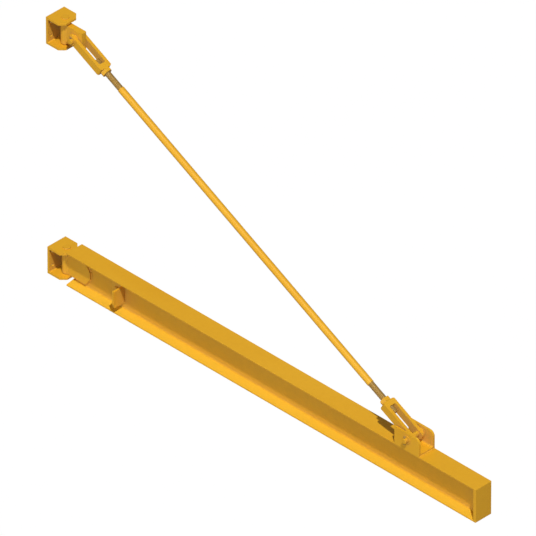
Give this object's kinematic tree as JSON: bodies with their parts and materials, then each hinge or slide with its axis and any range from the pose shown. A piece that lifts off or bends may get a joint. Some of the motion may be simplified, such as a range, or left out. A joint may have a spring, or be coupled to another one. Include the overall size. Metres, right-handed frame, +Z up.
{
  "type": "wall-mounted jib crane boom",
  "caption": "Wall-mounted swinging jib: I-beam boom on a hinged lower bracket, held level by an inclined adjustable tie rod from an upper swivel bracket.",
  "frame": {"origin": "centre of the lower wall bracket's back face, on the wall plane", "axes": "+X out along the boom away from the wall, +Y along the wall to the left when looking from the wall out along the boom, +Z up"},
  "size_m": [2.294, 0.1328, 1.2103],
  "materials": {
    "bracket_paint": "satin enamel, warm yellow-orange",
    "boom_paint": "satin enamel, warm yellow-orange",
    "fitting_paint": "satin enamel, warm yellow-orange",
    "forging_paint": "satin enamel, warm yellow-orange, slightly rough forging skin",
    "rod_paint": "satin enamel, warm yellow-orange",
    "thread_steel": "yellow-chromate plated thread",
    "hardware_paint": "satin enamel, warm yellow-orange, worn on edges and faces a spanner touches",
    "plated_hardware": "yellow-chromate zinc plating",
    "bearing_bronze": "machined bearing bronze"
  },
  "bodies": {
    "wall_fittings": {"lower_wall_bracket": "bracket_paint", "upper_wall_bracket": "bracket_paint", "lower_pivot_pin": "hardware_paint", "upper_pivot_pin": "hardware_paint", "lower_pivot_cotter": "plated_hardware", "upper_pivot_cotter": "plated_hardware", "lower_pivot_washer": "hardware_paint", "upper_pivot_washer": "hardware_paint", "lower_thrust_washers": "bearing_bronze", "upper_thrust_washers": "bearing_bronze"},
    "boom": {"boom_beam": "boom_paint", "boom_hub": "fitting_paint", "boom_hub_sleeves": "bearing_bronze", "near_hinge_plate": "fitting_paint", "far_hinge_plate": "fitting_paint", "near_trolley_stop": "fitting_paint", "far_trolley_stop": "fitting_paint", "trolley_stop_bolts": "hardware_paint", "trolley_stop_nuts": "hardware_paint", "end_stop_plate": "boom_paint", "tie_rod_bracket": "fitting_paint", "lower_clevis": "forging_paint", "lower_clevis_pin": "hardware_paint", "lower_clevis_washer": "hardware_paint", "lower_clevis_cotter": "plated_hardware", "lower_clevis_spacers": "hardware_paint"},
    "upper_swivel": {"swivel_hub": "fitting_paint", "swivel_hub_sleeves": "bearing_bronze", "swivel_lug": "fitting_paint", "upper_clevis": "forging_paint", "upper_clevis_pin": "hardware_paint", "upper_clevis_washer": "hardware_paint", "upper_clevis_cotter": "plated_hardware", "upper_clevis_spacers": "hardware_paint"},
    "tie_rod": {"tie_rod_bar": "rod_paint", "upper_threaded_end": "thread_steel", "lower_threaded_end": "thread_steel", "upper_jam_nut": "forging_paint", "lower_jam_nut": "forging_paint"}
  },
  "joints": [
    {"name": "boom_swing", "type": "hinge", "parent": "wall_fittings", "child": "boom", "pos_m": [0.057, 0, 0], "axis": [0, 0, 1], "range_deg": [-90, 90]},
    {"name": "swivel_swing", "type": "hinge", "parent": "wall_fittings", "child": "upper_swivel", "pos_m": [0.057, 0, 1.0668], "axis": [0, 0, 1], "range_deg": [-90, 90]},
    {"name": "tie_rod_turn", "type": "hinge", "parent": "boom", "child": "tie_rod", "pos_m": [1.0245, 0, 0.59595], "axis": [0.8868, 0, -0.4621], "range_deg": [-180, 180]}
  ],
  "couplings": [
    {"joint": "swivel_swing", "follows": "boom_swing", "ratio": 1}
  ]
}
